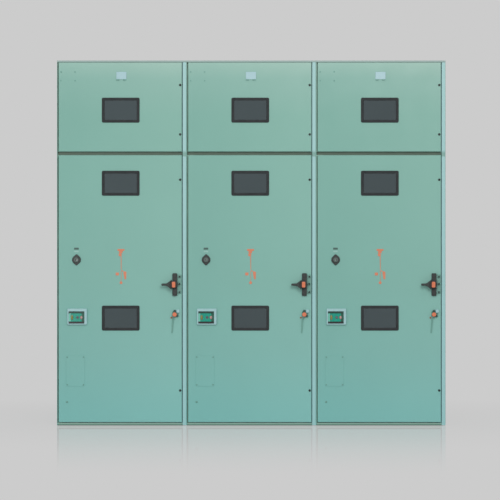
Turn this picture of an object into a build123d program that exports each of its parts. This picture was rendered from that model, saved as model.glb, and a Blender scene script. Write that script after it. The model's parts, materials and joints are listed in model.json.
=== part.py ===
from build123d import *
import os

# Driving dimensions, in millimetres.
# A cubicle is drawn in its own axes: x from its left edge, y back from the door faces, z up from the floor.
UNIT_COUNT = 3
PITCH = 780.0
DEPTH = 900.0
HEIGHT = 2200.0
SHEET = 2.0
SIDE_GAP = 0.2
HANDLE_REACH = 54.0

# Frame
FRAME_Y = 30.0
WALL_FRONT = 3.0
POST_LEG = 40.0
RAIL_DEPTH = 38.0
NOSE_LEFT = PITCH - 23
NOSE_RIGHT = PITCH - SIDE_GAP - SHEET
RIGHT_FLANGE = 30.0
BASE_HEIGHT = 60.0
BASE_SHEET = 4.0
BASE_FOOT = 50.0
BASE_TOP_LEG = 30.0
SILL_FACE = 8.0
SILL_TOP = 14.0
ANCHOR_INSET_X = 60.0
ANCHOR_SETBACK = 38.0
ANCHOR_RADIUS = 7.0
MID_RAIL = (1600.0, 1684.0)
PARTITION_Z = 1618.0
REAR_SPLIT_Z = 1100.0

# Doors
DOOR_LEFT = 10.0
DOOR_RIGHT = NOSE_LEFT - 5
DOOR_DEPTH = 20.0
DOOR_LIP = 16.0
LOWER_DOOR = (20.0, 1628.0)
UPPER_DOOR = (1650.0, 2186.5)
PIVOT_X = DOOR_LEFT + 9
PIVOT_Y = 9.0
HINGE_ZS = (190.0, 820.0, 1450.0)
UPPER_HINGE_ZS = (1740.0, 2090.0)
FOLD_RADIUS = 2.4
RIB_XS = (234.0, 534.0)
RIB_WIDTH = 32.0
RIB_DEPTH = 14.0
PIN_RADIUS = 3.0
PIN_CLEARANCE = 0.05

# Windows
WINDOW_X = 384.0
WINDOW_SIZE = (227.0, 150.0)
WINDOW_RUBBER = 16.0
WINDOW_RADIUS = 9.0
UPPER_WINDOW_Z = 1899.0
LOWER_WINDOW_ZS = (1459.0, 647.0)

# Door fittings
HANDLE_X = 704.0
HANDLE_Z = 849.0
HANDLE_SIZE = (29.0, 136.0)
HANDLE_SHIFT = 6.0
PLATE_FACE = -14.0
LEVER_BACK = -19.0
LEVER_FACE = -44.0
KEEPER_X = (729.0, 749.0)
KEEPER_Z = (794.0, 909.0)
LOCK_X = 709.0
LOCK_Z = 669.0
SOCKET_X = 118.0
SOCKET_Z = 998.0
SOCKET_HEX = 7.0
DISPLAY_X = 122.0
DISPLAY_Z = 656.0
DISPLAY_SIZE = (118.0, 97.0)
DISPLAY_FACE = (96.0, 75.0)
DISPLAY_SHIFT = (-3.5, -5.0)
COVER_AT = (111.0, 329.0)
COVER_SIZE = (112.0, 184.0)
COVER_FACE = -2.0

# Inside
POLE_XS = (190.0, 390.0, 590.0)
BAR_THICK = 8.0
BAR_WIDTH = 40.0
BUS_YS = (356.0, 556.0, 756.0)
BUS_Z = (2000.0, 2050.0)
BUS_END = 60.0
LINK_Z = 1892.0
POLE_Y = 560.0
SWITCH_RAIL_Y = (700.0, 740.0)
INSULATOR_LENGTH = 140.0
UPPER_CONTACT_Z = 1540.0
LOWER_CONTACT_Z = 1180.0
CABLE_RAIL_Z = 640.0
BUSHING_RADIUS = 54.5
BLADE_GAP = 18.0
BLADE_THICK = 6.0
CABLE_HOLE = (PITCH / 2, 300.0)
CABLE_HOLE_RADIUS = 60.0
SHAFT_YZ = (655.0, 1360.0)
SHAFT_RADIUS = 12.0
CRANK_YZ = (600.0, 1400.0)
ROD_END_YZ = (525.0, 1450.0)
DRIVE_X = 60.0
DRIVE_CRANK_YZ = (600.0, 1330.0)
DRIVE_FOOT_YZ = (200.0, 1122.0)
MECHANISM_X = (SIDE_GAP + SHEET, 158.0)
MECHANISM_Y = (70.0, 230.0)
MECHANISM_Z = (890.0, 1110.0)

# Worked out from the driving dimensions
FRONT = (HANDLE_REACH - DEPTH) / 2
ROOF_Z = HEIGHT - 2 * SHEET
WALL_IN = SIDE_GAP + SHEET
POST_IN = WALL_IN + SHEET
INNER_RIGHT = PITCH - WALL_IN
BACK = DEPTH - SHEET
UNITS = range(UNIT_COUNT)

os.makedirs("parts", exist_ok=True)


def block(x, y, z):
    """Box between the (low, high) pairs of x, y and z."""
    size = [pair[1] - pair[0] for pair in (x, y, z)]
    middle = [(pair[0] + pair[1]) / 2 for pair in (x, y, z)]
    return Pos(*middle) * Box(*size)


def place(unit, shape):
    """Move a shape from a cubicle's own axes to the line-up's."""
    left = (unit - UNIT_COUNT / 2) * PITCH
    return Pos(left, FRONT, 0) * shape


def save(name, shapes):
    """Write one sub-part; shapes is one solid or a list of solids."""
    if isinstance(shapes, list):
        shapes = shapes[0] if len(shapes) == 1 else Compound(children=shapes)
    export_step(shapes, f"parts/{name}.step")


def bent_sheet(points, thickness):
    """Section of a sheet bent along the points, with its thickness on the left of the path."""
    path = [Vector(*point) for point in points]
    runs = [(b - a).normalized() for a, b in zip(path, path[1:])]
    normals = [Vector(-run.Y, run.X) for run in runs]
    inner = [path[0] + normals[0] * thickness]
    for corner, before, after in zip(path[1:-1], normals, normals[1:]):
        inner.append(corner + (before + after) * (thickness / (1 + before.dot(after))))
    inner.append(path[-1] + normals[-1] * thickness)
    return make_face(Polyline(*path, *reversed(inner), close=True))


def upright(section, z):
    """Section in plan carried up between the heights z."""
    return extrude(Plane.XY.offset(z[0]) * section, z[1] - z[0])


def crosswise(section, x):
    """Section in the side view (y, z) carried along x."""
    return extrude(Plane.YZ.offset(x[0]) * section, x[1] - x[0])


def lengthwise(section, y):
    """Section in the front view (x, z) carried back between the depths y."""
    plane = Plane(origin=(0, y[0], 0), x_dir=(1, 0, 0), z_dir=(0, -1, 0))
    return extrude(plane * section, y[0] - y[1])


def window_ring(size, radius):
    return RectangleRounded(size[0], size[1], radius)


# Frame of bent posts and rails


def front_left_post():
    path = [(WALL_IN, FRAME_Y + POST_LEG), (WALL_IN, FRAME_Y), (WALL_IN + POST_LEG, FRAME_Y)]
    return upright(bent_sheet(path, SHEET), (SHEET, ROOF_Z))


def front_right_post():
    """The post's nose comes forward beside the door, flush with its face."""
    path = [
        (NOSE_LEFT - RIGHT_FLANGE, FRAME_Y),
        (NOSE_LEFT, FRAME_Y),
        (NOSE_LEFT, 0),
        (NOSE_RIGHT, 0),
        (NOSE_RIGHT, FRAME_Y + POST_LEG),
    ]
    post = upright(bent_sheet(path, SHEET), (SHEET, ROOF_Z))
    front_edges = post.edges().filter_by(Axis.Z).group_by(Axis.Y)[0]
    post = fillet(front_edges, 1.8)
    under_roof_lip = block((NOSE_LEFT - 1, NOSE_RIGHT + 1), (-1, 4), (ROOF_Z - 9, ROOF_Z + 1))
    return post - under_roof_lip


def rear_posts():
    left = [(WALL_IN + POST_LEG, BACK), (WALL_IN, BACK), (WALL_IN, BACK - POST_LEG)]
    right = [(INNER_RIGHT, BACK - POST_LEG), (INNER_RIGHT, BACK), (INNER_RIGHT - POST_LEG, BACK)]
    return [upright(bent_sheet(path, SHEET), (SHEET, ROOF_Z)) for path in (left, right)]


def channel(front, height, facing):
    """Channel along x between the posts; its legs reach back, or forward where facing is -1."""
    reach = front + facing * RAIL_DEPTH
    path = [(reach, height[1]), (front, height[1]), (front, height[0]), (reach, height[0])]
    if facing < 0:
        path.reverse()
    return crosswise(bent_sheet(path, SHEET), (POST_IN, PITCH - POST_IN))


def cross_rails():
    head = channel(FRAME_Y + SHEET, (ROOF_Z - 60, ROOF_Z), 1)
    middle = channel(FRAME_Y + SHEET, MID_RAIL, 1)
    rear_head = channel(BACK - SHEET, (ROOF_Z - 60, ROOF_Z), -1)
    rear_middle = channel(BACK - SHEET, (REAR_SPLIT_Z - 30, REAR_SPLIT_Z + 30), -1)
    return [head, middle, rear_head, rear_middle]


def base_section(face, facing):
    """Channel with a long bottom leg for the anchors and a short top leg."""
    path = [
        (face + facing * BASE_TOP_LEG, BASE_HEIGHT),
        (face, BASE_HEIGHT),
        (face, 0),
        (face + facing * BASE_FOOT, 0),
    ]
    if facing < 0:
        path.reverse()
    return bent_sheet(path, BASE_SHEET)


BASE_FRONT = FRAME_Y + SHEET
BASE_BACK = BACK - SHEET


def base_cross_rails():
    """Front and rear rail, and the sill that closes the foot of the front under the door."""
    rails = []
    for face, facing in ((BASE_FRONT, 1), (BASE_BACK, -1)):
        rail = crosswise(base_section(face, facing), (POST_IN, PITCH - POST_IN))
        for x in (ANCHOR_INSET_X, PITCH - ANCHOR_INSET_X):
            rail -= Pos(x, face + facing * ANCHOR_SETBACK, 0) * Cylinder(ANCHOR_RADIUS, 20)
        rails.append(rail)
    sill = [(FRAME_Y, SILL_TOP), (SILL_FACE, SILL_TOP), (SILL_FACE, 0), (FRAME_Y, 0)]
    rails.append(crosswise(bent_sheet(sill, SHEET), (WALL_IN, NOSE_LEFT)))
    return rails


def base_side_rails():
    span = (BASE_FRONT + BASE_FOOT, BASE_BACK - BASE_FOOT)
    left = lengthwise(base_section(POST_IN, 1), span)
    right = lengthwise(base_section(PITCH - POST_IN, -1), span)
    return [left, right]


# Sheets


def side_walls(unit):
    walls = []
    for x, next_to in ((SIDE_GAP, unit - 1), (PITCH - WALL_IN, unit + 1)):
        wall = block((x, x + SHEET), (WALL_FRONT, BACK), (SHEET, ROOF_Z))
        if next_to in UNITS:
            for y in BUS_YS:
                hole = Pos(x, y, sum(BUS_Z) / 2) * Rot(0, 90, 0) * Cylinder(BUSHING_RADIUS, 20)
                wall -= hole
        walls.append(wall)
    return walls


def roof():
    path = [(DEPTH, ROOF_Z - 16), (DEPTH, ROOF_Z + SHEET), (0, ROOF_Z + SHEET), (0, ROOF_Z - 8)]
    return crosswise(bent_sheet(path, SHEET), (SIDE_GAP, PITCH - SIDE_GAP))


def relief_flap():
    middle = PITCH / 2
    return block((middle - 250, middle + 250), (300, 700), (ROOF_Z + SHEET, HEIGHT))


def rear_panels():
    x = (8, PITCH - 8)
    lower = block(x, (BACK, DEPTH), (8, REAR_SPLIT_Z - 3))
    upper = block(x, (BACK, DEPTH), (REAR_SPLIT_Z + 3, ROOF_Z - 20))
    return [lower, upper]


def floor_plate():
    plate = block((POST_IN + 1, PITCH - POST_IN - 1), (BASE_FRONT, BASE_BACK), (BASE_HEIGHT, BASE_HEIGHT + SHEET))
    return plate - Pos(*CABLE_HOLE, BASE_HEIGHT) * Cylinder(CABLE_HOLE_RADIUS, 20)


def cable_grommet():
    """Rubber ring that grips the edge of the floor plate's hole."""
    lip = CABLE_HOLE_RADIUS + 7
    bore = CABLE_HOLE_RADIUS - 15
    low = BASE_HEIGHT - 6
    high = BASE_HEIGHT + SHEET + 6
    outline = Polyline(
        (bore, low),
        (lip, low),
        (lip, BASE_HEIGHT),
        (CABLE_HOLE_RADIUS, BASE_HEIGHT),
        (CABLE_HOLE_RADIUS, BASE_HEIGHT + SHEET),
        (lip, BASE_HEIGHT + SHEET),
        (lip, high),
        (bore, high),
        close=True,
    )
    ring = revolve(Plane.XZ * make_face(outline), Axis.Z)
    return Pos(*CABLE_HOLE, 0) * ring


def partition():
    sheet = block((POST_IN, PITCH - POST_IN), (FRAME_Y + POST_LEG, BACK - SHEET), (PARTITION_Z, PARTITION_Z + SHEET))
    for x in POLE_XS:
        sheet -= Pos(x, POLE_Y - BAR_THICK / 2, PARTITION_Z) * Cylinder(50, 20)
    return sheet


# Doors and windows


def door_rib(x, height):
    """Stiffening channel welded upright to the back of the door's sheet."""
    left, right = x - RIB_WIDTH / 2, x + RIB_WIDTH / 2
    crest = SHEET + RIB_DEPTH
    path = [(left, SHEET), (left, crest), (right, crest), (right, SHEET)]
    return upright(bent_sheet(path, -SHEET), (height[0] + 30, height[1] - 30))


def hinge_half(z):
    """Two knuckles and the pin of one hinge, on the door's side."""
    half = Pos(PIVOT_X, PIVOT_Y, z) * Cylinder(PIN_RADIUS, 58)
    for middle in (z - 22, z + 22):
        half += Pos(PIVOT_X, PIVOT_Y, middle) * Cylinder(5, 14)
        half += block((PIVOT_X - 3, PIVOT_X + 3), (SHEET / 2, PIVOT_Y), (middle - 7, middle + 7))
    return half


def door_pan(height, hinge_zs):
    """Sheet folded back round its four edges, with ribs and hinge knuckles welded inside."""
    width = (DOOR_LEFT, DOOR_RIGHT)
    pan = block(width, (0, DOOR_DEPTH), height)
    pan = fillet(pan.faces().sort_by(Axis.Y)[0].edges(), FOLD_RADIUS)
    inside = [(low + SHEET, high - SHEET) for low, high in (width, height)]
    opening = [(low + DOOR_LIP, high - DOOR_LIP) for low, high in (width, height)]
    pan -= block(inside[0], (SHEET, DOOR_DEPTH - SHEET), inside[1])
    pan -= block(opening[0], (SHEET, DOOR_DEPTH + 1), opening[1])
    for x in RIB_XS:
        pan += door_rib(x, height)
    for z in hinge_zs:
        notch_y = (SHEET + 0.5, DOOR_DEPTH + 1)
        pan -= block((DOOR_LEFT - 1, DOOR_LEFT + 20), notch_y, (z - 32, z + 32))
        pan += hinge_half(z)
    return pan


def cut_window(pan, z):
    hole = window_ring([side - WINDOW_RUBBER for side in WINDOW_SIZE], WINDOW_RADIUS / 2)
    return pan - lengthwise(Pos(WINDOW_X, z) * hole, (-1, SHEET + 1))


def window_glass(z):
    clear = [side - 2 * WINDOW_RUBBER + 8 for side in WINDOW_SIZE]
    return lengthwise(Pos(WINDOW_X, z) * window_ring(clear, WINDOW_RADIUS / 2), (-1, 3))


def window_gasket(z):
    """Black rubber profile with a lip on both faces of the door sheet and a groove for the glass."""
    outer = window_ring(WINDOW_SIZE, WINDOW_RADIUS)
    neck = window_ring([side - WINDOW_RUBBER for side in WINDOW_SIZE], WINDOW_RADIUS / 2)
    clear = window_ring([side - 2 * WINDOW_RUBBER for side in WINDOW_SIZE], WINDOW_RADIUS / 3)
    centre = Pos(WINDOW_X, z)
    gasket = lengthwise(centre * outer, (-4, 0)) + lengthwise(centre * neck, (0, SHEET))
    gasket += lengthwise(centre * outer, (SHEET, 6))
    gasket -= lengthwise(centre * clear, (-5, 7))
    gasket = chamfer(gasket.faces().sort_by(Axis.Y)[0].edges(), 1.5)
    return gasket - window_glass(z)


def hinge_bracket(z):
    """Knuckle with a running fit on the door's pin, and an arm and foot welded to the post."""
    bracket = block((PIVOT_X - 2, PIVOT_X + 5), (PIVOT_Y, FRAME_Y), (z - 14, z + 14))
    bracket += block((PIVOT_X - 2, PIVOT_X + 12), (FRAME_Y - 3, FRAME_Y), (z - 14, z + 14))
    bracket += Pos(PIVOT_X, PIVOT_Y, z) * Cylinder(5, 28)
    return bracket - Pos(PIVOT_X, PIVOT_Y, z) * Cylinder(PIN_RADIUS + PIN_CLEARANCE, 60)


def door_seal(height, front):
    """Rubber strip round the doorway, on the front flanges of the frame."""
    x = (PIVOT_X + 12, NOSE_LEFT - 18)
    strip = 10
    outer = block(x, (front, FRAME_Y), height)
    return outer - block((x[0] + strip, x[1] - strip), (front - 1, FRAME_Y + 1), (height[0] + strip, height[1] - strip))


# Door fittings


def centred(x, z):
    """Place for a fitting that is drawn about its own centre on the door's face."""
    return Pos(x, 0, z)


def handle_plate():
    """Upright black housing of the rotary latch, bolted to the door at both ends."""
    width, height = HANDLE_SIZE
    housing = Pos(HANDLE_SHIFT, 0) * RectangleRounded(width, height, 6) + Circle(24)
    plate = lengthwise(housing, (PLATE_FACE, 0))
    plate = chamfer(plate.faces().sort_by(Axis.Y)[0].edges(), 2)
    for z in (-52, 52):
        head = lengthwise(Pos(HANDLE_SHIFT, z) * RegularPolygon(9, 6), (PLATE_FACE - 5, PLATE_FACE))
        plate += head
    return centred(HANDLE_X, HANDLE_Z) * plate


def handle_hub():
    """Orange finger plate on the lever's round root."""
    hub = lengthwise(RectangleRounded(21, 35, 6), (-HANDLE_REACH, LEVER_BACK - 15))
    hub = fillet(hub.faces().sort_by(Axis.Y)[0].edges(), 3)
    return centred(HANDLE_X, HANDLE_Z) * hub


def handle_lever():
    """Round root with the spindle behind it, running out in a wedge to a straight grip."""
    neck = 42
    grip = 7
    tip = 67
    outline = Polyline((-12, 30), (-neck, grip), (-tip, grip))
    outline += ThreePointArc((-tip, grip), (-tip - grip, 0), (-tip, -grip))
    outline += Polyline((-tip, -grip), (-neck, -grip), (-12, -30), (-12, 30))
    arm = make_face(outline)
    necks = [corner for corner in arm.vertices() if abs(corner.X + neck) < 0.1]
    arm = lengthwise(fillet(necks, 26), (LEVER_FACE, LEVER_BACK - 8))
    arm = fillet(arm.faces().sort_by(Axis.Y)[0].edges(), 3)
    arm -= lengthwise(Circle(24.5), (LEVER_FACE - 1, LEVER_BACK - 14))
    root = lengthwise(Circle(24), (LEVER_BACK - 15, LEVER_BACK))
    root = fillet(root.faces().sort_by(Axis.Y)[0].edges(), 2)
    spindle = lengthwise(Circle(8), (LEVER_BACK, PLATE_FACE))
    return centred(HANDLE_X, HANDLE_Z) * (arm + root + spindle)


def handle_keeper():
    """Green strip with three lugs beside the latch housing."""
    keeper = block(KEEPER_X, (-5, 0), KEEPER_Z)
    for z in (KEEPER_Z[0] + 10, sum(KEEPER_Z) / 2 + 2, KEEPER_Z[1] - 12):
        lug = block((KEEPER_X[0] + 4, KEEPER_X[1] - 4), (-17, -5), (z - 6, z + 6))
        keeper += fillet(lug.faces().sort_by(Axis.Y)[0].edges().filter_by(Axis.X), 4)
    return keeper


def door_lock():
    """Lock with a round knob in front of its housing."""
    housing = lengthwise(Pos(4, 4) * RectangleRounded(36, 40, 13), (-9, 0))
    housing = chamfer(housing.faces().sort_by(Axis.Y)[0].edges(), 2)
    knob = lengthwise(Circle(13), (-28, -18))
    knob = fillet(knob.edges().filter_by(GeomType.CIRCLE), 3)
    return centred(LOCK_X, LOCK_Z) * (housing + lengthwise(Circle(8), (-18, -9)) + knob)


def switch_socket():
    """Rounded diamond flange with a sleeve that takes the loose operating lever's hexagon."""
    flange = make_hull((Circle(26) + Pos(0, 26) * Circle(7) + Pos(0, -26) * Circle(7)).edges())
    socket = lengthwise(flange, (-7, 0))
    socket = chamfer(socket.faces().sort_by(Axis.Y)[0].edges(), 2)
    socket += lengthwise(Circle(14), (-18, -7))
    socket -= lengthwise(RegularPolygon(SOCKET_HEX, 6), (-19, 1))
    return centred(SOCKET_X, SOCKET_Z) * socket


def cover_plate():
    """Blank plate over a spare cut-out in the door."""
    plate = lengthwise(RectangleRounded(*COVER_SIZE, 4), (COVER_FACE, 0))
    plate = chamfer(plate.faces().sort_by(Axis.Y)[0].edges(), 0.6)
    return centred(*COVER_AT) * plate


def live_display():
    frame = lengthwise(RectangleRounded(*DISPLAY_SIZE, 4), (-14, 0))
    frame = chamfer(frame.faces().sort_by(Axis.Y)[0].edges(), 2)
    frame -= lengthwise(Pos(*DISPLAY_SHIFT) * RectangleRounded(*DISPLAY_FACE, 3), (-15, -10))
    return centred(DISPLAY_X, DISPLAY_Z) * frame


# Inside: busbars, switch and cable end


def insulator(length):
    """Ribbed post insulator standing on z = 0."""
    outline = [(0, 0), (32, 0), (32, 12), (24, 20)]
    for step in range(3):
        z = 30 + step * (length - 60) / 3
        outline += [(24, z), (34, z + 8), (24, z + 16)]
    outline += [(24, length - 14), (26, length - 10), (26, length), (0, length)]
    return revolve(Plane.XZ * make_face(Polyline(*outline, close=True)), Axis.Z)


def forward(shape, x, z):
    """Stand an insulator on a rear rail, pointing to the door."""
    return Pos(x, SWITCH_RAIL_Y[0], z) * Rot(90, 0, 0) * shape


def post_insulators():
    posts = []
    post = insulator(INSULATOR_LENGTH)
    hanging = insulator(ROOF_Z - BUS_Z[1])
    for x, y in zip(POLE_XS, BUS_YS):
        posts.append(Pos(x - 100, y, ROOF_Z) * Rot(180, 0, 0) * hanging)
        for z in (UPPER_CONTACT_Z, LOWER_CONTACT_Z, CABLE_RAIL_Z):
            posts.append(forward(post, x, z))
    return posts


def switch_rails():
    rails = []
    for z in (UPPER_CONTACT_Z, LOWER_CONTACT_Z, CABLE_RAIL_Z):
        y = SWITCH_RAIL_Y
        path = [(y[1], z + 35), (y[0], z + 35), (y[0], z - 35), (y[1], z - 35)]
        rails.append(crosswise(bent_sheet(path, 3), (WALL_IN, INNER_RIGHT)))
    return rails


def switch_blades():
    blades = []
    for x in POLE_XS:
        blade = block((x - 20, x + 20), (POLE_Y - 30, POLE_Y), (UPPER_CONTACT_Z - 20, UPPER_CONTACT_Z + 20))
        blade += block((x - 20, x + 20), (POLE_Y - 30, POLE_Y), (LOWER_CONTACT_Z - 20, LOWER_CONTACT_Z + 20))
        for side in (-1, 1):
            middle = x + side * (BLADE_GAP + BLADE_THICK) / 2
            width = (middle - BLADE_THICK / 2, middle + BLADE_THICK / 2)
            blade += block(width, (POLE_Y - 50, POLE_Y - 20), (LOWER_CONTACT_Z, UPPER_CONTACT_Z))
        blades.append(blade)
    return blades


def cable_bars():
    """Flat bars from the switch down to the cable ends, each with a bolt hole for the cable lug."""
    low, high = CABLE_RAIL_Z - 90, LOWER_CONTACT_Z - 20
    bars = []
    for x in POLE_XS:
        bar = block((x - BAR_WIDTH / 2, x + BAR_WIDTH / 2), (POLE_Y - BAR_THICK, POLE_Y), (low, high))
        bars.append(bar - lengthwise(Pos(x, low + 22) * Circle(6.5), (POLE_Y - 20, POLE_Y + 10)))
    return bars


def rod_between(start, end, radius, x):
    """Round rod between two (y, z) points in the plane of x."""
    foot, head = Vector(x, *start), Vector(x, *end)
    along = Plane(origin=foot, z_dir=head - foot)
    return extrude(along * Circle(radius), (head - foot).length)


def shaft_crank(end, x):
    """Crank clamped on the shaft, with its pin at the (y, z) point end."""
    arm = make_hull((Pos(*SHAFT_YZ) * Circle(22) + Pos(*end) * Circle(12)).edges())
    return crosswise(arm, (x - 5, x + 5))


def switch_shaft():
    """Shaft across the cubicle, its drive rod from the mechanism and a pull rod to each pole."""
    shaft = crosswise(Pos(*SHAFT_YZ) * Circle(SHAFT_RADIUS), (WALL_IN, INNER_RIGHT))
    shaft += shaft_crank(DRIVE_CRANK_YZ, DRIVE_X)
    shaft += rod_between(DRIVE_FOOT_YZ, DRIVE_CRANK_YZ, 6, DRIVE_X)
    for x in POLE_XS:
        shaft += shaft_crank(CRANK_YZ, x)
        shaft += rod_between(CRANK_YZ, ROD_END_YZ, 7, x)
        shaft += crosswise(Pos(*ROD_END_YZ) * Circle(6), (x - BLADE_GAP / 2, x + BLADE_GAP / 2))
    return shaft


def mechanism_box():
    """Spring mechanism's housing on the left wall, with its input shaft behind the door's socket."""
    box = block(MECHANISM_X, MECHANISM_Y, MECHANISM_Z)
    box = fillet(box.faces().sort_by(Axis.Y)[0].edges(), 4)
    box += lengthwise(Pos(SOCKET_X, SOCKET_Z) * Circle(16), (MECHANISM_Y[0] - 12, MECHANISM_Y[0]))
    box += lengthwise(Pos(SOCKET_X, SOCKET_Z) * RegularPolygon(SOCKET_HEX - 0.5, 6), (8, MECHANISM_Y[0]))
    y, z = DRIVE_FOOT_YZ
    ear = make_hull((Pos(y, z) * Circle(11) + Pos(y, MECHANISM_Z[1] - 5) * Rectangle(40, 10)).edges())
    for side in (-1, 1):
        middle = DRIVE_X + side * 9
        box += crosswise(ear, (middle - 3, middle + 3))
    return box


def busbar(phase):
    """Bar through all cubicles, with a link down to each cubicle's switch."""
    y = BUS_YS[phase]
    half = BAR_THICK / 2
    end = UNIT_COUNT * PITCH / 2 - BUS_END
    bar = Pos(0, FRONT, 0) * block((-end, end), (y - half, y + half), BUS_Z)
    for unit in UNITS:
        x = (POLE_XS[phase] - BAR_WIDTH / 2, POLE_XS[phase] + BAR_WIDTH / 2)
        drop = block(x, (y - half, y + half), (LINK_Z, BUS_Z[0]))
        pole = (POLE_Y - BAR_THICK, POLE_Y)
        reach = (min(y - half, pole[0]), max(y + half, pole[1]))
        link = drop + block(x, reach, (LINK_Z, LINK_Z + BAR_THICK))
        link += block(x, pole, (UPPER_CONTACT_Z + 20, LINK_Z + BAR_THICK))
        bar += place(unit, link)
    return bar


def bushings(unit):
    """Epoxy sleeves that carry the busbars through the wall shared with the next cubicle."""
    sleeves = []
    for y in BUS_YS:
        sleeve = Cylinder(BUSHING_RADIUS, 70) + Pos(0, 0, WALL_IN + 3) * Cylinder(BUSHING_RADIUS + 14, 6)
        sleeve = Pos(PITCH, y, sum(BUS_Z) / 2) * Rot(0, 90, 0) * sleeve
        half = BAR_THICK / 2
        sleeves.append(sleeve - block((PITCH - 60, PITCH + 60), (y - half, y + half), BUS_Z))
    return sleeves


def earth_bar():
    return block((WALL_IN, INNER_RIGHT), (100, 105), (110, 140))


# Sub-parts on the fixed body, each with its like pieces in all cubicles

shared = {
    "front_left_posts": lambda unit: [front_left_post()],
    "front_right_posts": lambda unit: [front_right_post()],
    "rear_posts": lambda unit: rear_posts(),
    "cross_rails": lambda unit: cross_rails(),
    "base_cross_rails": lambda unit: base_cross_rails(),
    "base_side_rails": lambda unit: base_side_rails(),
    "side_walls": side_walls,
    "roof_sheets": lambda unit: [roof()],
    "relief_flaps": lambda unit: [relief_flap()],
    "rear_panels": lambda unit: rear_panels(),
    "floor_plates": lambda unit: [floor_plate()],
    "cable_grommets": lambda unit: [cable_grommet()],
    "partitions": lambda unit: [partition()],
    "upper_doors": lambda unit: [cut_window(door_pan(UPPER_DOOR, UPPER_HINGE_ZS), UPPER_WINDOW_Z)],
    "upper_window_glass": lambda unit: [window_glass(UPPER_WINDOW_Z)],
    "upper_window_gaskets": lambda unit: [window_gasket(UPPER_WINDOW_Z)],
    "hinge_brackets": lambda unit: [hinge_bracket(z) for z in HINGE_ZS + UPPER_HINGE_ZS],
    "lower_door_seals": lambda unit: [door_seal((40, 1612), FRAME_Y - 5)],
    "upper_door_seals": lambda unit: [door_seal((1664, 2170), DOOR_DEPTH)],
    "mechanism_boxes": lambda unit: [mechanism_box()],
    "post_insulators": lambda unit: post_insulators(),
    "switch_rails": lambda unit: switch_rails(),
    "switch_blades": lambda unit: switch_blades(),
    "switch_shafts": lambda unit: [switch_shaft()],
    "cable_bars": lambda unit: cable_bars(),
    "earth_bars": lambda unit: [earth_bar()],
}
for name, make in shared.items():
    save(name, [place(unit, piece) for unit in UNITS for piece in make(unit)])

for phase, colour in enumerate(("yellow", "green", "red")):
    save(f"busbar_{colour}", busbar(phase))
save("busbar_bushings", [place(unit, sleeve) for unit in UNITS[:-1] for sleeve in bushings(unit)])

# Sub-parts of each lower door and its handle

lower_pan = door_pan(LOWER_DOOR, HINGE_ZS)
for z in LOWER_WINDOW_ZS:
    lower_pan = cut_window(lower_pan, z)
lower_pan -= lengthwise(Pos(SOCKET_X, SOCKET_Z) * Circle(SOCKET_HEX + 3), (-1, SHEET + 1))
per_door = {
    "lower_door": [lower_pan, cover_plate()],
    "door_glass": [window_glass(z) for z in LOWER_WINDOW_ZS],
    "door_gaskets": [window_gasket(z) for z in LOWER_WINDOW_ZS],
    "handle_plate": [handle_plate()],
    "handle_keeper": [handle_keeper()],
    "handle_hub": [handle_hub()],
    "handle_lever": [handle_lever()],
    "door_lock": [door_lock()],
    "switch_socket": [switch_socket()],
    "live_display": [live_display()],
}
for name, pieces in per_door.items():
    for unit in UNITS:
        save(f"{name}_{unit + 1}", [place(unit, piece) for piece in pieces])
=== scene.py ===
import json
import math

import bmesh
import bpy
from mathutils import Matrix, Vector

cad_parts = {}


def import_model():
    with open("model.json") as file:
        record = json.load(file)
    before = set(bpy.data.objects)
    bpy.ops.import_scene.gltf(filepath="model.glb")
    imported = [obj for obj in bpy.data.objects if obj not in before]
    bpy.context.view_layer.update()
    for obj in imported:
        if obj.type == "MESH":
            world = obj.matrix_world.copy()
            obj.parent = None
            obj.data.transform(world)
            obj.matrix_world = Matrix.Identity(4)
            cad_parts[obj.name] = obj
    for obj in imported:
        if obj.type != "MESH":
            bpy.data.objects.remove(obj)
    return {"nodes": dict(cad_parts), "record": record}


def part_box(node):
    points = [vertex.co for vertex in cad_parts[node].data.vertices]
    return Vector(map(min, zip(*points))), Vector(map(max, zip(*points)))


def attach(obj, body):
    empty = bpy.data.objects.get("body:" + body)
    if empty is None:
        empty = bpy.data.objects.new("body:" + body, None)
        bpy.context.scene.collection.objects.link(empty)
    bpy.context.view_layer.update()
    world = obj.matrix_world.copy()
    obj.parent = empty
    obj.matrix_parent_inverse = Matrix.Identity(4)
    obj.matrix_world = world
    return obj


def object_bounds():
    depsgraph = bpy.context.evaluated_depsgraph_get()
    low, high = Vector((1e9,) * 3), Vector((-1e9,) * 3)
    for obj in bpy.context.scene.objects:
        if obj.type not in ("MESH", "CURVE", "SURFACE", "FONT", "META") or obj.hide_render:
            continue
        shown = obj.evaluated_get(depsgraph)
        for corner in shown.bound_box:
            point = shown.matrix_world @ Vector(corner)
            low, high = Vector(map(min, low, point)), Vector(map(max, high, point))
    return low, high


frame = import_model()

cad_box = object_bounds()

# Sizes are in millimetres in a cubicle's own axes: x from its left edge, y back from the door
# faces (so a negative y stands in front of them), z up from the floor. Points of the frame, the
# camera and the lamps are in metres.
MM = 0.001
UNITS = (1, 2, 3)
DOOR_LEFT = 10.0
FACE_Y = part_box("live_display_1")[1][1]
LEFT = {unit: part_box(f"lower_door_{unit}")[0][0] - DOOR_LEFT * MM for unit in UNITS}
PITCH = (LEFT[2] - LEFT[1]) / MM
DEPTH = (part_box("rear_panels")[1][1] - FACE_Y) / MM
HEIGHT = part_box("relief_flaps")[1][2] / MM


def spot(unit, x, z, y=0.0):
    """Point of a cubicle in the frame, in metres."""
    return Vector((LEFT[unit] + x * MM, FACE_Y + y * MM, z * MM))


def srgb(red, green, blue):
    """Linear colour of an 8-bit display colour."""
    return tuple(
        c / 12.92 if c <= 0.04045 else ((c + 0.055) / 1.055) ** 2.4
        for c in (red / 255, green / 255, blue / 255)
    )


BACKDROP = srgb(204, 204, 204)


# Camera

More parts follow.
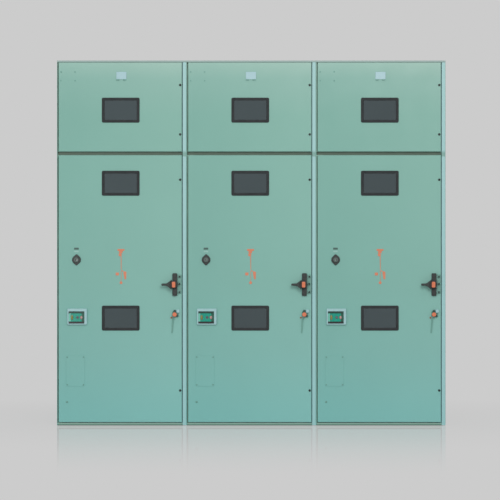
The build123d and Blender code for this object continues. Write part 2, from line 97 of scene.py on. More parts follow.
SENSOR = 36
LENS = 167.4
CAMERA_AWAY = 14.0
CAMERA_X = -0.0076
CAMERA_Z = 1.057
VIEW_END = 100


def make_camera():
    """Straight on from the front, the lens so long that the line-up's sides don't show."""
    camera = bpy.data.cameras.new("camera")
    camera.sensor_width = SENSOR
    camera.lens = LENS
    camera.clip_end = VIEW_END
    obj = bpy.data.objects.new("camera", camera)
    obj.location = (CAMERA_X, FACE_Y - CAMERA_AWAY, CAMERA_Z)
    obj.rotation_euler = (math.pi / 2, 0, 0)
    bpy.context.scene.collection.objects.link(obj)
    bpy.context.scene.camera = obj


make_camera()


# Materials


class Finish:
    """A principled material with helpers for the procedural nodes in front of it."""

    def __init__(self, name, roughness, metallic=0.0, **sockets):
        self.material = bpy.data.materials.new(name)
        self.material.use_nodes = True
        self.tree = self.material.node_tree
        self.tree.nodes.clear()
        self.shader = self.add("ShaderNodeBsdfPrincipled")
        output = self.add("ShaderNodeOutputMaterial")
        self.link(self.shader.outputs["BSDF"], output.inputs["Surface"])
        self.shader.inputs["Roughness"].default_value = roughness
        self.shader.inputs["Metallic"].default_value = metallic
        for socket, value in sockets.items():
            self.shader.inputs[socket.replace("_", " ")].default_value = value
        self.place = self.add("ShaderNodeTexCoord").outputs["Object"]

    def add(self, kind):
        return self.tree.nodes.new(kind)

    def link(self, output, socket):
        self.tree.links.new(output, socket)

    def along(self, axis):
        """X, Y or Z of the place on the surface, in metres."""
        split = self.add("ShaderNodeSeparateXYZ")
        self.link(self.place, split.inputs["Vector"])
        return split.outputs[axis]

    def noise(self, scale, detail, stretch=None):
        """Noise over the surface; a small stretch draws it out along that axis."""
        place = self.place
        if stretch:
            mapping = self.add("ShaderNodeMapping")
            mapping.inputs["Scale"].default_value = stretch
            self.link(place, mapping.inputs["Vector"])
            place = mapping.outputs["Vector"]
        noise = self.add("ShaderNodeTexNoise")
        noise.inputs["Scale"].default_value = scale
        noise.inputs["Detail"].default_value = detail
        self.link(place, noise.inputs["Vector"])
        return noise.outputs["Fac"]

    def ramp(self, factor, stops):
        """Colours by factor; stops are at least two of (place, colour)."""
        ramp = self.add("ShaderNodeValToRGB")
        elements = ramp.color_ramp.elements
        while len(elements) < len(stops):
            elements.new(0.5)
        for element, (at, colour) in zip(elements, stops):
            element.position = at
            element.color = (*colour, 1)
        self.link(factor, ramp.inputs["Fac"])
        return ramp.outputs["Color"]

    def shades(self, colour, spread, scale):
        """The colour a little darker and lighter in soft patches."""
        dark = [c * (1 - spread) for c in colour]
        light = [c * (1 + spread) for c in colour]
        return self.ramp(self.noise(scale, 3.0), [(0.3, dark), (0.7, light)])

    def remap(self, value, source, target):
        remap = self.add("ShaderNodeMapRange")
        sockets = ("From Min", "From Max", "To Min", "To Max")
        for socket, number in zip(sockets, (*source, *target)):
            remap.inputs[socket].default_value = number
        self.link(value, remap.inputs["Value"])
        return remap.outputs["Result"]

    def multiply(self, first, second):
        mix = self.add("ShaderNodeMix")
        mix.data_type = "RGBA"
        mix.blend_type = "MULTIPLY"
        mix.inputs["Factor"].default_value = 1
        self.link(first, mix.inputs["A"])
        self.link(second, mix.inputs["B"])
        return mix.outputs["Result"]

    def colour(self, output):
        self.link(output, self.shader.inputs["Base Color"])

    def rough(self, low, high, scale, stretch=None):
        """Roughness wanders between low and high."""
        value = self.remap(self.noise(scale, 4.0, stretch), (0.3, 0.7), (low, high))
        self.link(value, self.shader.inputs["Roughness"])

    def bump(self, scale, height, detail=2.0, stretch=None):
        """Relief of the given height in metres."""
        bump = self.add("ShaderNodeBump")
        bump.inputs["Strength"].default_value = 1
        bump.inputs["Distance"].default_value = height
        self.link(self.noise(scale, detail, stretch), bump.inputs["Height"])
        self.link(bump.outputs["Normal"], self.shader.inputs["Normal"])

    def moulded(self, roughness, grain):
        """Uneven gloss and fine grain of moulded plastic."""
        self.rough(roughness - 0.06, roughness + 0.08, scale=60.0)
        self.bump(scale=2600.0, height=grain)


TONE_SPLIT_Y = -17.0


def two_tone_plastic(name, behind, ahead):
    """One moulding in two tones, split at a depth in front of the door's face."""
    finish = Finish(name, 0.4)
    soft = 0.1
    edges = (FACE_Y + (TONE_SPLIT_Y - soft) * MM, FACE_Y + (TONE_SPLIT_Y + soft) * MM)
    step = finish.remap(finish.along("Y"), edges, (1, 0))
    tone = finish.ramp(step, [(0, behind), (1, ahead)])
    finish.colour(finish.multiply(tone, finish.shades((1, 1, 1), spread=0.04, scale=30.0)))
    finish.moulded(0.4, grain=0.00003)
    return finish.material


def painted_steel(name, heights, across=None):
    """Stove enamel with a trace of orange peel.

    heights are its tones from the floor, 0, to the roof, 1, some with painted light and shade in
    them.
    across are factors from a cubicle's left edge, 0, to its right one, 1, a painted sheen across
    it.
    """
    finish = Finish(name, 0.42, Specular_IOR_Level=0.4)
    up = finish.remap(finish.along("Z"), (0.0, HEIGHT * MM), (0.0, 1.0))
    tone = finish.ramp(up, heights)
    # A painted sheen across each cubicle, when across is given.
    if across:
        line_up = (LEFT[1], LEFT[1] + len(UNITS) * PITCH * MM)
        wrap = finish.add("ShaderNodeMath")
        wrap.operation = "FRACT"
        cubicles = finish.remap(finish.along("X"), line_up, (0.0, len(UNITS)))
        finish.link(cubicles, wrap.inputs[0])
        tone = finish.multiply(tone, finish.ramp(wrap.outputs[0], across))
    finish.colour(finish.multiply(tone, finish.shades((1, 1, 1), spread=0.012, scale=3.0)))
    finish.rough(0.37, 0.48, scale=9.0)
    finish.bump(scale=420.0, height=0.00003)
    return finish.material


def plastic(name, colour, roughness, grain=0.00002, spread=0.04):
    finish = Finish(name, roughness)
    finish.colour(finish.shades(colour, spread, scale=30.0))
    finish.moulded(roughness, grain)
    return finish.material


def metal(name, colour, roughness, brushed=None):
    """Bare or plated metal, with its brushed lines along the axis whose stretch is smallest."""
    finish = Finish(name, roughness, metallic=1.0)
    finish.colour(finish.shades(colour, spread=0.06, scale=25.0))
    finish.rough(roughness - 0.08, roughness + 0.1, scale=90.0, stretch=brushed)
    finish.bump(scale=500.0, height=0.00002, detail=3.0, stretch=brushed)
    return finish.material


def spangled_zinc(name):
    """Zinc-plated sheet with its large crystals."""
    finish = Finish(name, 0.4, metallic=1.0)
    cells = finish.add("ShaderNodeTexVoronoi")
    cells.inputs["Scale"].default_value = 90
    finish.link(finish.place, cells.inputs["Vector"])
    split = finish.add("ShaderNodeSeparateColor")
    finish.link(cells.outputs["Color"], split.inputs["Color"])
    tones = [(0, (0.42, 0.44, 0.45)), (1, (0.58, 0.6, 0.61))]
    finish.colour(finish.ramp(split.outputs["Red"], tones))
    gloss = finish.remap(split.outputs["Green"], (0, 1), (0.32, 0.5))
    finish.link(gloss, finish.shader.inputs["Roughness"])
    return finish.material


def dark_glass(name):
    """Tinted tempered glass, half seen through."""
    finish = Finish(name, 0.06, IOR=1.5, Alpha=0.82)
    finish.colour(finish.shades(srgb(72, 84, 87), spread=0.05, scale=2.0))
    finish.bump(scale=6.0, height=0.0002)
    return finish.material


def even(colour):
    return [(0.0, colour), (1.0, colour)]


# Door green by height, with painted light in it: lighter and bluer towards the floor as painted
# light from the floor, and lighter at the top as a painted highlight.
GREEN = [
    (0.03, srgb(126, 188, 182)),
    (0.2, srgb(128, 183, 174)),
    (0.4, srgb(128, 180, 168)),
    (0.85, srgb(127, 177, 163)),
    (0.95, srgb(136, 181, 168)),
    (0.985, srgb(150, 189, 176)),
    (1.0, srgb(156, 193, 179)),
]
# Painted sheen across each cubicle: darker at its left edge, lighter at its right.
GREEN_SHEEN_ACROSS = [(0.1, (0.945, 0.9725, 0.9725)), (0.9, (1.09, 1.045, 1.045))]
# The light strip beside the doors, green for the short stretch beside the gap between them, as
# painted shade of that gap on the strip and on its flange seen through it.
TRIM = [
    (0.0, srgb(156, 203, 203)),
    (0.7345, srgb(162, 204, 203)),
    (0.7355, srgb(128, 170, 160)),
    (0.7495, srgb(128, 170, 160)),
    (0.7505, srgb(162, 204, 203)),
    (1.0, srgb(164, 205, 203)),
]
# Painted shade and light at the sill: its dark lower edge is a painted contact shadow, its face is
# green, darker than the doors, and the rails above it are pale as painted light in the gap under
# the doors.
SILL = [
    (0.0024, srgb(92, 110, 104)),
    (0.003, srgb(113, 158, 140)),
    (0.0062, srgb(113, 158, 140)),
    (0.0067, srgb(205, 230, 220)),
]
ORANGE = srgb(222, 122, 84)
BLACK = srgb(38, 44, 42)
COARSE = 0.00004

finishes = {
    "green_paint": painted_steel("green_enamel", GREEN, GREEN_SHEEN_ACROSS),
    "trim_paint": painted_steel("light_enamel", TRIM),
    # Paler than the doors: painted light that lifts the shade in the gaps beside the doors.
    "frame_steel": painted_steel("frame_enamel", even(srgb(178, 214, 196))),
    "roof_paint": painted_steel("roof_enamel", even(srgb(150, 172, 167))),
    # Darker than the door green: painted shade beside the handle.
    "keeper_paint": plastic("keeper_enamel", srgb(112, 158, 146), 0.4),
    "zinc_sheet": spangled_zinc("zinc_sheet"),
    "bright_steel": metal("bright_steel", (0.5, 0.5, 0.51), 0.32),
    "copper": metal("copper_bar", (0.62, 0.33, 0.2), 0.38, (1.0, 1.0, 0.05)),
    "phase_yellow": plastic("yellow_sleeve", srgb(214, 170, 34), 0.5),
    "phase_green": plastic("green_sleeve", srgb(50, 130, 70), 0.5),
    "phase_red": plastic("red_sleeve", srgb(178, 44, 36), 0.5),
    "brown_epoxy": plastic("brown_epoxy", srgb(112, 58, 42), 0.22),
    "black_rubber": plastic("black_rubber", srgb(30, 34, 36), 0.7, COARSE),
    "window_glass": dark_glass("dark_glass"),
    "black_handle": plastic("black_plastic", BLACK, 0.45, 0.00005),
    "orange_plastic": plastic("orange_plastic", ORANGE, 0.35),
    "pale_plastic": plastic("pale_plastic", srgb(160, 198, 200), 0.35),
}
small_paints = {
    name: plastic(name, srgb(*colour), roughness)
    for name, colour, roughness in (
        ("mimic_orange", (218, 130, 96), 0.5),
        ("mark_pale", (150, 192, 182), 0.5),
        ("label_dark", (62, 92, 84), 0.4),
        ("green_screw", (108, 158, 146), 0.35),
        ("screen_teal", (0, 152, 128), 0.25),
        ("screen_dark", (16, 62, 50), 0.3),
        ("screen_black", (28, 32, 32), 0.3),
        ("screen_cyan", (112, 190, 170), 0.3),
        ("screen_green", (20, 84, 66), 0.3),
        ("lamp_yellow", (132, 132, 54), 0.15),
        ("lamp_red", (88, 84, 92), 0.15),
        ("lamp_pink", (186, 142, 134), 0.2),
        ("lamp_rim", (84, 112, 104), 0.3),
        ("seal_red", (160, 92, 66), 0.4),
        ("barrel_green", (44, 76, 68), 0.35),
    )
}
small_paints["black_oxide"] = metal("black_oxide", (0.035, 0.04, 0.04), 0.45)
small_paints["pale_plate"] = plastic("pale_plate", srgb(166, 200, 206), 0.35, 0.00001, 0.03)
# Rubber tone, dark as painted shade of the gap between the doors.
small_paints["rubber_gap_shade"] = plastic("rubber_gap_shade", srgb(104, 122, 108), 0.6, COARSE)

special = {
    "base_cross_rails": painted_steel("base_enamel", SILL),
    "door_lock": two_tone_plastic("lock_body", srgb(86, 128, 116), ORANGE),
    "switch_socket": two_tone_plastic("socket_body", BLACK, srgb(84, 100, 94)),
}
for row in frame["record"]["subparts"]:
    node = frame["nodes"][row["node"]]
    kind = row["node"].rstrip("_123")  # without the cubicle's number
    node.data.materials.clear()
    node.data.materials.append(special.get(kind, finishes[row["material_slot"]]))


# Mesh building

SHARP = math.radians(30)


def add_piece(name, mesh, material, body):
    """Turn a bmesh into a piece that rides on a body."""
    bmesh.ops.recalc_face_normals(mesh, faces=mesh.faces)
    data = bpy.data.meshes.new(name)
    mesh.to_mesh(data)
    mesh.free()
    data.materials.append(material)
    data.shade_smooth()
    data.set_sharp_from_angle(angle=SHARP)
    obj = bpy.data.objects.new(name, data)
    bpy.context.scene.collection.objects.link(obj)
    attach(obj, body)


def skin(mesh, loops):
    """Join closed loops of vertices in a row, and close both ends."""
    for here, there in zip(loops, loops[1:]):
        for i in range(len(here)):
            j = (i + 1) % len(here)
            mesh.faces.new((here[i], here[j], there[j], there[i]))
    mesh.faces.new(loops[0])
    mesh.faces.new(list(reversed(loops[-1])))


def stack(mesh, at, rings):
    """Solid of rings of (x, z) points at depths y, in millimetres from the frame point at."""
    loops = []
    for ring, y in rings:
        loops.append([mesh.verts.new(at + Vector((x, y, z)) * MM) for x, z in ring])
    skin(mesh, loops)


def inset(outline, amount):
    """The outline moved inwards by amount, with mitred corners; it runs anticlockwise."""
    moved = []
    count = len(outline)
    for i, here in enumerate(outline):
        before, after = outline[i - 1], outline[(i + 1) % count]
        first = (here - before).normalized()
        second = (after - here).normalized()
        normals = [Vector((-run.y, run.x)) for run in (first, second)]
        reach = amount / (1 + normals[0].dot(normals[1]))
        moved.append(here + (normals[0] + normals[1]) * reach)
    return moved


def slab(mesh, at, outline, depth, ease):
    """Flat piece from depth[0] in front to depth[1], its front edge eased."""
    outline = [Vector(point) for point in outline]
    front, back = depth
    stack(mesh, at, [(inset(outline, ease), front), (outline, front + ease), (outline, back)])


def oval(across, along, sides=28):
    """Ring about the origin, of half widths across and along."""
    angles = [2 * math.pi * i / sides for i in range(sides)]
    return [(across * math.cos(angle), along * math.sin(angle)) for angle in angles]


CORNER = 2
CORNER_STEPS = 5


def rounded(width, height):
    """Rectangle about the origin with rounded corners."""
    points = []
    for side, rise, start in ((1, 1, 0), (-1, 1, 90), (-1, -1, 180), (1, -1, 270)):
        for step in range(CORNER_STEPS + 1):
            angle = math.radians(start + 90 * step / CORNER_STEPS)
            x = side * (width / 2 - CORNER) + CORNER * math.cos(angle)
            z = rise * (height / 2 - CORNER) + CORNER * math.sin(angle)
            points.append((x, z))
    return points


def shifted(ring, x, z):
    return [(point[0] + x, point[1] + z) for point in ring]


def turned(mesh, at, profile, x=0, z=0, sides=28):
    """Solid of (radius, y) rings about an axis from front to back."""
    stack(mesh, at, [(shifted(oval(radius, radius, sides), x, z), y) for radius, y in profile])


SCREW_SIDES = 24
# Share of the screw's radius, share of its height, and whether the ring is the socket's hexagon.
SCREW_PROFILE = (
    (1, 0, False),
    (1, 0.35, False),
    (0.8, 0.85, False),
    (0.5, 1, True),
    (0.47, 0.45, True),
)


def hexagon(radius, angle):
    """Distance from the middle of a hexagon to its side in that direction."""
    sixth = math.pi / 3
    return radius * math.cos(sixth / 2) / math.cos(angle % sixth - sixth / 2)


def screw(mesh, at, radius, height=2.4, out=(0, -1, 0)):
    """Button head with a hexagon socket, standing on the surface at that frame point."""
    out = Vector(out)
    side = Vector((0, 0, 1)).cross(out)
    if side.length < 0.5:
        side = Vector((1, 0, 0))
    up = out.cross(side)
    loops = []
    for reach, rise, six in SCREW_PROFILE:
        loop = []
        for i in range(SCREW_SIDES):
            angle = 2 * math.pi * i / SCREW_SIDES
            r = hexagon(reach * radius, angle) if six else reach * radius
            round_axis = side * (r * math.cos(angle)) + up * (r * math.sin(angle))
            loop.append(mesh.verts.new(at + (round_axis + out * (rise * height)) * MM))
        loops.append(loop)
    skin(mesh, loops)


ROUTE_STEPS = 24


def smooth_route(route):
    """Points of a smooth curve through the route's points."""
    points = []
    last = len(route) - 1
    for step in range(ROUTE_STEPS + 1):
        t = step / ROUTE_STEPS * last
        i = min(int(t), last - 1)
        f = t - i
        a, b, c, d = (Vector(route[min(max(k, 0), last)]) for k in range(i - 1, i + 3))
        square = (2 * a - 5 * b + 4 * c - d) * f * f
        cube = (3 * b - 3 * c + d - a) * f**3
        points.append(0.5 * (2 * b + (c - a) * f + square + cube))
    return points


def ribbon(mesh, at, route, width, thick):
    """Flat strap along (x, z, y) points, facing the front."""
    half = width / 2
    corners = ((-half, 0), (half, 0), (half, thick), (-half, thick))
    loops = []
    for x, z, y in smooth_route(route):
        places = [Vector((x + dx, y + dy - thick, z)) for dx, dy in corners]
        loops.append([mesh.verts.new(at + place * MM) for place in places])
    skin(mesh, loops)


# Single-line mimic on each lower door, in orange strip

MIMIC_X = 385.0
MIMIC_THICK = 1.2
THIN_EASE = 0.3
MIMIC_SHAPES = (
    # Bar, its contact and a disc under it
    [(-20, 1052), (20, 1052), (22, 1063), (-20, 1063)],
    [(-11, 1037), (8, 1037), (12, 1052), (-12, 1052)],
    shifted(oval(9.5, 9.5), -4, 1028),
    # Line and open switch blade
    [(0.5, 939), (4, 939), (3.5, 1021), (-1, 1021)],
    [(4, 931), (8, 927), (16, 928), (6, 938)],
    # Fixed contacts at both sides
    [(22, 881), (32, 881), (33, 925), (17, 930), (15, 919)],
    [(-31, 904), (-12, 904), (-12, 921), (-31, 921)],
    # Line down to the end
    [(0.5, 868), (3.0, 868), (3.0, 932), (0.5, 932)],
    shifted(oval(8.5, 8.5), 1, 860),
)


def mimic(unit):
    mesh = bmesh.new()
    for outline in MIMIC_SHAPES:
        slab(mesh, spot(unit, MIMIC_X, 0), outline, (-MIMIC_THICK, 0), THIN_EASE)
    paint = small_paints["mimic_orange"]
    add_piece(f"mimic_{unit}", mesh, paint, f"lower_door_{unit}")


# Live-line display: panels and lamps inside the moulded frame

DISPLAY_AT = (118.5, 651.0)
DISPLAY_FLOOR = -10.0
DISPLAY_X = 47.0
DISPLAY_Z = 36.5
# The middle panel's edges, inside the head, the foot and the strips at both sides.
PANEL_LEFT = -DISPLAY_X + 12
PANEL_RIGHT = DISPLAY_X - 16
PANEL_Z = DISPLAY_Z - 12
PANELS = (
    # Name, paint, left, right, lower and upper edge, thickness
    ("display_panel", "screen_teal", PANEL_LEFT, PANEL_RIGHT, -PANEL_Z, PANEL_Z, 1.0),
    ("display_head", "screen_dark", -DISPLAY_X, DISPLAY_X, PANEL_Z, DISPLAY_Z, 1.6),
    ("display_foot", "screen_black", -DISPLAY_X, DISPLAY_X, -DISPLAY_Z, -PANEL_Z, 1.6),
    ("display_left", "screen_cyan", -DISPLAY_X, PANEL_LEFT, -PANEL_Z, PANEL_Z, 1.3),
    ("display_right", "screen_green", PANEL_RIGHT, DISPLAY_X, -PANEL_Z, PANEL_Z, 1.3),
)
# Name and paint, x of the middle, half width and half height
DISPLAY_LAMPS = (
    ("lamp_yellow", -27, 5.5, 14),
    ("lamp_red", 6, 6, 6),
    ("lamp_pink", 29, 6.5, 9),
)
# How much wider than the lamp, and how far in front of the display's floor
LAMP_RIM = ((2.4, -2.0), (3.0, -1.4), (3.0, -0.9))
DOME_FOOT = 1.9
DOME_RISE = 3.0
DOME_STEPS = 5


def display(unit):
    door = f"lower_door_{unit}"
    at = spot(unit, *DISPLAY_AT)
    for name, paint, left, right, low, high, thick in PANELS:
        panel = bmesh.new()
        outline = [(left, low), (right, low), (right, high), (left, high)]
        slab(panel, at, outline, (DISPLAY_FLOOR - thick, DISPLAY_FLOOR), THIN_EASE)
        add_piece(f"{name}_{unit}", panel, small_paints[paint], door)
    for name, x, across, along in DISPLAY_LAMPS:
        rim = bmesh.new()
        rings = []
        for wider, y in LAMP_RIM:
            rings.append((shifted(oval(across + wider, along + wider), x, 0), DISPLAY_FLOOR + y))
        stack(rim, at, rings)
        add_piece(f"{name}_rim_{unit}", rim, small_paints["lamp_rim"], door)
        dome = bmesh.new()
        rings = []
        for step in reversed(range(DOME_STEPS)):
            angle = math.pi / 2 * step / DOME_STEPS
            shrink = math.cos(angle)
            y = DISPLAY_FLOOR - DOME_FOOT - DOME_RISE * math.sin(angle)
            rings.append((shifted(oval(across * shrink, along * shrink), x, 0), y))
        stack(dome, at, rings)
        add_piece(f"{name}_{unit}", dome, small_paints[name], door)


# Small door furniture

COVER_FACE = -2.0
COVER_SCREWS = ((62, 246), (62, 412), (160, 246), (160, 412))
PLUG_AT = (61, 142)
BLANK_SCREWS = ((25, 2076), (25, 2129), (109, 2076), (109, 2129))

LATCH_X = 742
LOWER_LATCHES = (1480, 211)
UPPER_LATCHES = (2050, 1753)
LATCH_CUP = ((4.6, -0.4), (5.0, -2.4), (6.6, -2.4), (7.2, -1.6), (7.2, 0))
LATCH_SPINDLE = ((2.6, -2.0), (2.8, -0.3))

PLATE_AT = (388, 2107)
CLIP_XS = (-21, 19)
CLIP_Z = -25

LABEL_X = 117
LABELS = (
    # Name, paint, slot, height over the floor, size, thickness
    ("socket_label", "label_dark", "black_handle", 1065, (28, 12), 1.0),
    ("socket_mark", "mark_pale", "pale_plastic", 1048, (26, 9), 0.8),
)


def door_screws(unit):
    """Screws of the blank cover and the small plug on the lower door, screws on the upper."""
    lower = bmesh.new()
    for x, z in COVER_SCREWS:
        screw(lower, spot(unit, x, z, COVER_FACE), radius=4.5)
    screw(lower, spot(unit, *PLUG_AT), radius=6.5, height=3.0)
    paint = small_paints["green_screw"]
    add_piece(f"cover_screws_{unit}", lower, paint, f"lower_door_{unit}")
    upper = bmesh.new()
    for x, z in BLANK_SCREWS:
        screw(upper, spot(unit, x, z), radius=4.0)
    add_piece(f"blank_screws_{unit}", upper, paint, "cabinet")


def latches(unit):
    """Quarter-turn latches: a dark cup with a square spindle in it."""
    groups = (
        ("door_latches", f"lower_door_{unit}", LOWER_LATCHES),
        ("upper_latches", "cabinet", UPPER_LATCHES),
    )
    for name, body, heights in groups:
        mesh = bmesh.new()
        for z in heights:
            at = spot(unit, LATCH_X, z)
            turned(mesh, at, LATCH_CUP)
            turned(mesh, at, LATCH_SPINDLE, sides=4)
        add_piece(f"{name}_{unit}", mesh, small_paints["black_oxide"], body)


def nameplate(unit):
    """Bare plate on the upper door, in a pair of clips under its lower edge."""
    at = spot(unit, *PLATE_AT)
    plate = bmesh.new()
    slab(plate, at, rounded(61, 45), depth=(-4.0, -1.5), ease=0.5)
    slab(plate, at, rounded(52, 36), depth=(-1.5, 0), ease=0.1)
    paint = small_paints["pale_plate"]
    add_piece(f"bare_plate_{unit}", plate, paint, "cabinet")
    clips = bmesh.new()
    for x in CLIP_XS:
        slab(clips, at, shifted(rounded(18, 9), x, CLIP_Z), depth=(-4.5, 0), ease=0.6)
    paint = small_paints["green_screw"]
    add_piece(f"plate_clips_{unit}", clips, paint, "cabinet")


def socket_labels(unit):
    """Dark bare label over the operating socket, and a pale one under it."""
    door = f"lower_door_{unit}"
    for name, paint, slot, z, size, thick in LABELS:
        mesh = bmesh.new()
        slab(mesh, spot(unit, LABEL_X, z), rounded(*size), (-thick, 0), THIN_EASE)
        add_piece(f"{name}_{unit}", mesh, small_paints[paint], door)


# Lock: its pale plate, two dark barrels, the seal, and the strap that hangs on its key

LOCK_AT = (709.0, 669.0)
BARRELS = ((1, 20, 8), (17, -9, 6))
SEAL_PROFILE = ((3.0, -7.5), (4.6, -6.5), (5.2, -4.5), (5.2, 0))
SEAL_AT = (-20, -19)
STRAP_ROUTE = ((-4, -9, -12), (-9, -24, -9), (-12, -52, -5), (-14, -86, -3), (-16, -112, -2))
STRAP_WIDTH = 8.0
STRAP_THICK = 1.0

KEEPER_X = 739
KEEPER_BOLT_ZS = (804, 853.5, 897)
BOLT_PROFILE = ((4.0, -20.5), (5.0, -19.8), (5.0, -17))


def lock_details(unit):
    door = f"lower_door_{unit}"
    at = spot(unit, *LOCK_AT)
    plate = bmesh.new()
    slab(plate, at, shifted(rounded(18, 18), 20, 20), depth=(-10.5, -0.5), ease=0.5)
    paint = small_paints["pale_plate"]
    add_piece(f"lock_plate_{unit}", plate, paint, door)
    barrels = bmesh.new()
    for x, z, radius in BARRELS:
        profile = ((radius - 2.5, -17), (radius - 0.8, -16), (radius, -14), (radius, -1))
        turned(barrels, at, profile, x, z)
    paint = small_paints["barrel_green"]
    add_piece(f"lock_barrel_{unit}", barrels, paint, door)
    seal = bmesh.new()
    turned(seal, at, SEAL_PROFILE, *SEAL_AT)
    add_piece(f"lock_seal_{unit}", seal, small_paints["seal_red"], door)
    strap = bmesh.new()
    ribbon(strap, at, STRAP_ROUTE, STRAP_WIDTH, STRAP_THICK)
    add_piece(f"key_tag_{unit}", strap, small_paints["green_screw"], door)


def keeper_bolts(unit):
    """Dark hexagon bolts in the keeper's three lugs."""
    mesh = bmesh.new()
    for z in KEEPER_BOLT_ZS:
        turned(mesh, spot(unit, KEEPER_X, z), BOLT_PROFILE, sides=6)
    paint = small_paints["black_oxide"]
    add_piece(f"keeper_bolts_{unit}", mesh, paint, f"lower_door_{unit}")


# Strips between the doors, and the screws that hold the rear panels, end walls and roof flaps

STRIP_AT = (379.5, 1639.5)
STRIP_SIZE = (753, 17)
STRIP_DEPTH = (27.0, 30.0)

REAR_PANELS = ((8, 1097), (1103, 2176))
REAR_INSET_X = 22
REAR_INSET_Z = 25
REAR_ROWS = 5
# The heads on the end walls sit a little in the sheet, not only on it.
END_INSET_X = 1.0
END_YS = (50, 470, DEPTH - 25)
END_ZS = (90, 600, 1110, 1620, 2150)
FLAP_XS = (PITCH / 2 - 230, PITCH / 2, PITCH / 2 + 230)
FLAP_YS = (320, 680)


def gap_strips():
    """Rubber strip on the frame behind the gap between the lower and the upper door, dark as
    painted shade of that gap.
    """
    mesh = bmesh.new()
    for unit in UNITS:
        slab(mesh, spot(unit, *STRIP_AT), rounded(*STRIP_SIZE), STRIP_DEPTH, ease=1.0)
    add_piece("gap_strips", mesh, small_paints["rubber_gap_shade"], "cabinet")


def shell_screws():
    rear = bmesh.new()
    for unit in UNITS:
        for low, high in REAR_PANELS:
            first, last = low + REAR_INSET_Z, high - REAR_INSET_Z
            rows = [first + (last - first) * row / (REAR_ROWS - 1) for row in range(REAR_ROWS)]
            places = [(x, z) for z in rows for x in (REAR_INSET_X, PITCH - REAR_INSET_X)]
            places += [(x, z) for x in (PITCH / 3, 2 * PITCH / 3) for z in (first, last)]
            for x, z in places:
                screw(rear, spot(unit, x, z, DEPTH), radius=5.0, height=3.0, out=(0, 1, 0))
    add_piece("rear_screws", rear, small_paints["green_screw"], "cabinet")
    ends = bmesh.new()
    for unit, x, side in ((1, END_INSET_X, -1), (3, PITCH - END_INSET_X, 1)):
        for y in END_YS:
            for z in END_ZS:
                screw(ends, spot(unit, x, z, y), radius=4.5, out=(side, 0, 0))
    add_piece("end_screws", ends, small_paints["green_screw"], "cabinet")
    top = bmesh.new()
    for unit in UNITS:
        for x in FLAP_XS:
            for y in FLAP_YS:
                screw(top, spot(unit, x, HEIGHT, y), radius=4.5, height=2.0, out=(0, 0, 1))
    add_piece("flap_screws", top, finishes["pale_plastic"], "cabinet")


for unit in UNITS:
    mimic(unit)
    display(unit)
    door_screws(unit)
    latches(unit)
    nameplate(unit)
    socket_labels(unit)
    lock_details(unit)
    keeper_bolts(unit)
gap_strips()
shell_screws()


# Floor, light and world

FLOOR_HALF = 40
# Away from the object, in metres, the mirror image fades and the shadow ends.
MIRROR_END = 3.2
MIRROR_SHARE = 0.29
SHADOW_END = 1.6
GLOW_SHARE = 0.86
WORLD_LIGHT = 0.5
WORLD_TINT = (0.97, 0.985, 1.0, 1)
LAMP_SIZE = 3.0


def floor_material():
    """Grey that glows like the backdrop, with a shadow and a faint mirror image near the object."""
    mat = bpy.data.materials.new("floor_sheet")
    mat.use_nodes = True
    nodes, links = mat.node_tree.nodes, mat.node_tree.links
    nodes.clear()

    def vector(operation, first, second=None):
        node = nodes.new("ShaderNodeVectorMath")
        node.operation = operation
        links.new(first, node.inputs[0])
        if second is not None:
            node.inputs[1].default_value = second
        return node.outputs["Value" if operation == "LENGTH" else "Vector"]

    def fade(distance, end, near, far, curve):
        node = nodes.new("ShaderNodeMapRange")
        node.interpolation_type = curve
        node.inputs["From Min"].default_value = 0.0
        node.inputs["From Max"].default_value = end
        node.inputs["To Min"].default_value = near
        node.inputs["To Max"].default_value = far
        links.new(distance, node.inputs["Value"])
        return node.outputs["Result"]

    def mix(factor, first, second):
        node = nodes.new("ShaderNodeMixShader")
        links.new(factor, node.inputs["Fac"])
        links.new(first, node.inputs[1])
        links.new(second, node.inputs[2])
        return node.outputs["Shader"]

    middle = [(low + high) / 2 for low, high in zip(*cad_box)]
    half = [(high - low) / 2 for low, high in zip(*cad_box)]
    away = nodes.new("ShaderNodeNewGeometry").outputs["Position"]
    away = vector("SUBTRACT", away, (middle[0], middle[1], 0))
    away = vector("SUBTRACT", vector("ABSOLUTE", away), (half[0], half[1], 0))
    away = vector("LENGTH", vector("MAXIMUM", away, (0, 0, 0)))

    glow = nodes.new("ShaderNodeEmission")
    glow.inputs["Color"].default_value = (*BACKDROP, 1)
    sheet = nodes.new("ShaderNodeBsdfDiffuse")
    sheet.inputs["Color"].default_value = (*BACKDROP, 1)
    polish = nodes.new("ShaderNodeBsdfGlossy")
    polish.inputs["Roughness"].default_value = 0.04
    polish.inputs["Color"].default_value = (1, 1, 1, 1)

    matt = sheet.outputs["BSDF"]
    shade = fade(away, SHADOW_END, GLOW_SHARE, 1.0, "LINEAR")
    mirror = fade(away, MIRROR_END, MIRROR_SHARE, 0.0, "SMOOTHSTEP")
    shown = mix(mirror, mix(shade, matt, glow.outputs["Emission"]), polish.outputs["BSDF"])
    ray = nodes.new("ShaderNodeLightPath")
    seen = nodes.new("ShaderNodeMath")
    seen.operation = "MAXIMUM"
    links.new(ray.outputs["Is Camera Ray"], seen.inputs[0])
    links.new(ray.outputs["Is Glossy Ray"], seen.inputs[1])
    out = nodes.new("ShaderNodeOutputMaterial")
    links.new(mix(seen.outputs["Value"], matt, shown), out.inputs["Surface"])
    return mat


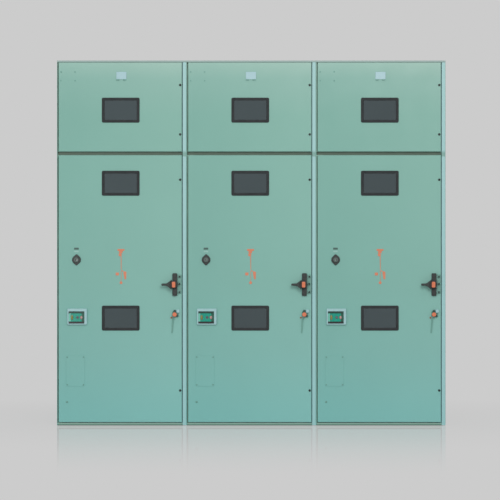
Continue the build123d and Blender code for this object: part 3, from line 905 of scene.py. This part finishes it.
def floor():
    mesh = bmesh.new()
    bmesh.ops.create_grid(mesh, x_segments=4, y_segments=4, size=FLOOR_HALF)
    data = bpy.data.meshes.new("floor")
    mesh.to_mesh(data)
    mesh.free()
    data.materials.append(floor_material())
    obj = bpy.data.objects.new("floor", data)
    bpy.context.scene.collection.objects.link(obj)


def world():
    """Plain grey for the camera, mirrors and glass, soft sky light for everything else."""
    sky = bpy.data.worlds.new("sky")
    bpy.context.scene.world = sky
    sky.use_nodes = True
    nodes, links = sky.node_tree.nodes, sky.node_tree.links
    nodes.clear()
    ray = nodes.new("ShaderNodeLightPath")

    def either(first, second):
        node = nodes.new("ShaderNodeMath")
        node.operation = "MAXIMUM"
        links.new(first, node.inputs[0])
        links.new(second, node.inputs[1])
        return node.outputs["Value"]

    backdrop = nodes.new("ShaderNodeBackground")
    backdrop.inputs["Color"].default_value = (*BACKDROP, 1)
    light = nodes.new("ShaderNodeBackground")
    light.inputs["Color"].default_value = WORLD_TINT
    light.inputs["Strength"].default_value = WORLD_LIGHT
    seen = either(ray.outputs["Is Camera Ray"], ray.outputs["Is Glossy Ray"])
    mix = nodes.new("ShaderNodeMixShader")
    links.new(either(seen, ray.outputs["Is Transmission Ray"]), mix.inputs["Fac"])
    links.new(light.outputs["Background"], mix.inputs[1])
    links.new(backdrop.outputs["Background"], mix.inputs[2])
    out = nodes.new("ShaderNodeOutputWorld")
    links.new(mix.outputs["Shader"], out.inputs["Surface"])


def lamp(name, place, target, power):
    """Square area lamp that faces the target."""
    light = bpy.data.lights.new(name, "AREA")
    light.size = LAMP_SIZE
    light.energy = power
    obj = bpy.data.objects.new(name, light)
    obj.location = place
    facing = Vector(target) - Vector(place)
    obj.rotation_euler = facing.to_track_quat("-Z", "Y").to_euler()
    bpy.context.scene.collection.objects.link(obj)


floor()
world()
lamp("key", place=(1.4, -8.0, 4.4), target=(0, 0, 1.1), power=232)
lamp("fill", place=(-3.0, -6.4, 1.4), target=(0, 0, 0.8), power=77)

bpy.context.scene.view_settings.view_transform = "Standard"
